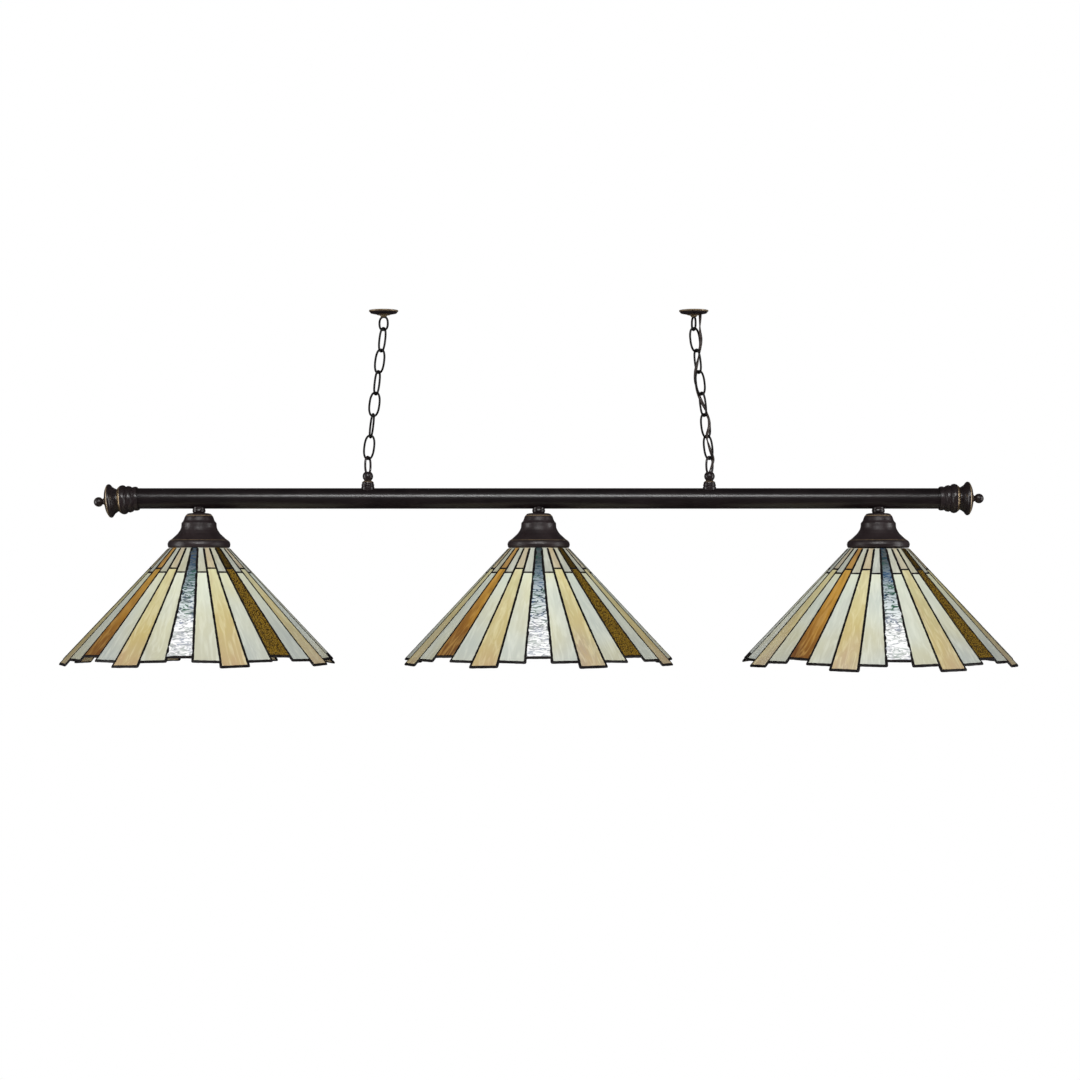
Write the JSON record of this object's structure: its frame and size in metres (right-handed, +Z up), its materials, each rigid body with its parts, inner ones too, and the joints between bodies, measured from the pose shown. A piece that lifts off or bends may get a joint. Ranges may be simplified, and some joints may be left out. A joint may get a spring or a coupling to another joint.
{
  "type": "pool table lamp",
  "caption": "Hanging billiard-table lamp: a straight bronze tube on two chains carries conical leaded-glass shades, each under a spun bell, with a lamp socket and bulb inside.",
  "frame": {"origin": "on the ceiling, midway between the two ceiling plates", "axes": "+X along the tube, +Z up, and a person facing the lamp looks along +Y"},
  "size_m": [1.4238, 0.4018, 0.5312],
  "materials": {
    "bronze": "satin near-black bronze with a warm cast",
    "antique_gold": "dull gold rubbed through the bronze along raised rings and edges",
    "chain_bronze": "satin black-bronze lacquer on bent steel wire",
    "raw_steel": "zinc-bright threaded steel",
    "screw_brass": "bright stamped brass",
    "phenolic": "moulded black phenolic",
    "bulb_white": "frosted white diffuser",
    "cord_brown": "dark brown insulated flat cord",
    "shade_glass": "leaded art glass, pale panels with coloured accents",
    "glass_white": "streaky white opalescent glass",
    "glass_amber": "streaky beige and yellow opalescent glass",
    "glass_brown": "streaky brown-amber glass",
    "glass_olive": "granular olive-amber glass",
    "glass_clear": "clear rippled glass",
    "solder": "dark patina on rounded solder seams"
  },
  "bodies": {
    "ceiling": {"ceiling_plate_left": "bronze", "ceiling_plate_right": "bronze", "ceiling_eye_left": "chain_bronze", "ceiling_eye_right": "chain_bronze", "supply_cord": "cord_brown"},
    "bar": {"bar_tube": "bronze", "bar_wiring": "cord_brown", "end_collar_left": "bronze", "end_cup_left": "bronze", "end_ball_left": "bronze", "hang_loop_left": "bronze", "loop_nut_left": "raw_steel", "end_collar_right": "bronze", "end_cup_right": "bronze", "end_ball_right": "bronze", "hang_loop_right": "bronze", "loop_nut_right": "raw_steel", "stem_nut_left": "raw_steel", "stem_left": "raw_steel", "neck_left": "bronze", "bell_left": "bronze", "cap_nut_left": "raw_steel", "socket_left": "phenolic", "screw_shell_left": "screw_brass", "stem_nut_middle": "raw_steel", "stem_middle": "raw_steel", "neck_middle": "bronze", "bell_middle": "bronze", "cap_nut_middle": "raw_steel", "socket_middle": "phenolic", "screw_shell_middle": "screw_brass", "stem_nut_right": "raw_steel", "stem_right": "raw_steel", "neck_right": "bronze", "bell_right": "bronze", "cap_nut_right": "raw_steel", "socket_right": "phenolic", "screw_shell_right": "screw_brass"},
    "link_left_6": {"chain_link_left_6": "chain_bronze"},
    "link_left_5": {"chain_link_left_5": "chain_bronze"},
    "link_left_4": {"chain_link_left_4": "chain_bronze"},
    "link_left_3": {"chain_link_left_3": "chain_bronze"},
    "link_left_2": {"chain_link_left_2": "chain_bronze"},
    "link_left_1": {"chain_link_left_1": "chain_bronze"},
    "link_right_6": {"chain_link_right_6": "chain_bronze"},
    "link_right_5": {"chain_link_right_5": "chain_bronze"},
    "link_right_4": {"chain_link_right_4": "chain_bronze"},
    "link_right_3": {"chain_link_right_3": "chain_bronze"},
    "link_right_2": {"chain_link_right_2": "chain_bronze"},
    "link_right_1": {"chain_link_right_1": "chain_bronze"},
    "shade_left": {"shade_cap_left": "bronze", "shade_glass_left": "shade_glass"},
    "bulb_left": {"bulb_left": "bulb_white"},
    "shade_middle": {"shade_cap_middle": "bronze", "shade_glass_middle": "shade_glass"},
    "bulb_middle": {"bulb_middle": "bulb_white"},
    "shade_right": {"shade_cap_right": "bronze", "shade_glass_right": "shade_glass"},
    "bulb_right": {"bulb_right": "bulb_white"}
  },
  "joints": [
    {"name": "right_chain_at_eye", "type": "hinge", "parent": "ceiling", "child": "link_right_6", "pos_m": [0.2333, 0, -0.028], "axis": [1, 0, 0], "range_deg": [-15, 15], "deforming": ["supply_cord"]},
    {"name": "right_link_6_to_5", "type": "hinge", "parent": "link_right_6", "child": "link_right_5", "pos_m": [0.23725, 0, -0.06037], "axis": [1, 0, 0], "range_deg": [-8, 8], "deforming": ["supply_cord"]},
    {"name": "right_link_5_to_4", "type": "hinge", "parent": "link_right_5", "child": "link_right_4", "pos_m": [0.2412, 0, -0.09273], "axis": [1, 0, 0], "range_deg": [-8, 8], "deforming": ["supply_cord"]},
    {"name": "right_link_4_to_3", "type": "hinge", "parent": "link_right_4", "child": "link_right_3", "pos_m": [0.24515, 0, -0.1251], "axis": [1, 0, 0], "range_deg": [-8, 8], "deforming": ["supply_cord"]},
    {"name": "right_link_3_to_2", "type": "hinge", "parent": "link_right_3", "child": "link_right_2", "pos_m": [0.2491, 0, -0.15747], "axis": [1, 0, 0], "range_deg": [-8, 8], "deforming": ["supply_cord"]},
    {"name": "right_link_2_to_1", "type": "hinge", "parent": "link_right_2", "child": "link_right_1", "pos_m": [0.25305, 0, -0.18983], "axis": [1, 0, 0], "range_deg": [-8, 8], "deforming": ["supply_cord"]},
    {"name": "bar_on_chain", "type": "hinge", "parent": "link_right_1", "child": "bar", "pos_m": [0.257, 0, -0.2222], "axis": [1, 0, 0], "range_deg": [-15, 15], "deforming": ["supply_cord"]},
    {"name": "left_chain_at_eye", "type": "hinge", "parent": "ceiling", "child": "link_left_6", "pos_m": [-0.2333, 0, -0.028], "axis": [1, 0, 0], "range_deg": [-15, 15]},
    {"name": "left_link_6_to_5", "type": "hinge", "parent": "link_left_6", "child": "link_left_5", "pos_m": [-0.23725, 0, -0.06037], "axis": [1, 0, 0], "range_deg": [-8, 8]},
    {"name": "left_link_5_to_4", "type": "hinge", "parent": "link_left_5", "child": "link_left_4", "pos_m": [-0.2412, 0, -0.09273], "axis": [1, 0, 0], "range_deg": [-8, 8]},
    {"name": "left_link_4_to_3", "type": "hinge", "parent": "link_left_4", "child": "link_left_3", "pos_m": [-0.24515, 0, -0.1251], "axis": [1, 0, 0], "range_deg": [-8, 8]},
    {"name": "left_link_3_to_2", "type": "hinge", "parent": "link_left_3", "child": "link_left_2", "pos_m": [-0.2491, 0, -0.15747], "axis": [1, 0, 0], "range_deg": [-8, 8]},
    {"name": "left_link_2_to_1", "type": "hinge", "parent": "link_left_2", "child": "link_left_1", "pos_m": [-0.25305, 0, -0.18983], "axis": [1, 0, 0], "range_deg": [-8, 8]},
    {"name": "shade_turn_left", "type": "hinge", "parent": "bar", "child": "shade_left", "pos_m": [-0.511, 0, -0.345], "axis": [0, 0, 1], "continuous": true},
    {"name": "bulb_screw_left", "type": "hinge", "parent": "bar", "child": "bulb_left", "pos_m": [-0.511, 0, -0.4], "axis": [0, 0, 1], "continuous": true},
    {"name": "shade_turn_middle", "type": "hinge", "parent": "bar", "child": "shade_middle", "pos_m": [0, 0, -0.345], "axis": [0, 0, 1], "continuous": true},
    {"name": "bulb_screw_middle", "type": "hinge", "parent": "bar", "child": "bulb_middle", "pos_m": [0, 0, -0.4], "axis": [0, 0, 1], "continuous": true},
    {"name": "shade_turn_right", "type": "hinge", "parent": "bar", "child": "shade_right", "pos_m": [0.511, 0, -0.345], "axis": [0, 0, 1], "continuous": true},
    {"name": "bulb_screw_right", "type": "hinge", "parent": "bar", "child": "bulb_right", "pos_m": [0.511, 0, -0.4], "axis": [0, 0, 1], "continuous": true}
  ],
  "couplings": [
    {"joint": "left_chain_at_eye", "follows": "right_chain_at_eye", "ratio": 1},
    {"joint": "left_link_6_to_5", "follows": "right_link_6_to_5", "ratio": 1},
    {"joint": "left_link_5_to_4", "follows": "right_link_5_to_4", "ratio": 1},
    {"joint": "left_link_4_to_3", "follows": "right_link_4_to_3", "ratio": 1},
    {"joint": "left_link_3_to_2", "follows": "right_link_3_to_2", "ratio": 1},
    {"joint": "left_link_2_to_1", "follows": "right_link_2_to_1", "ratio": 1}
  ]
}
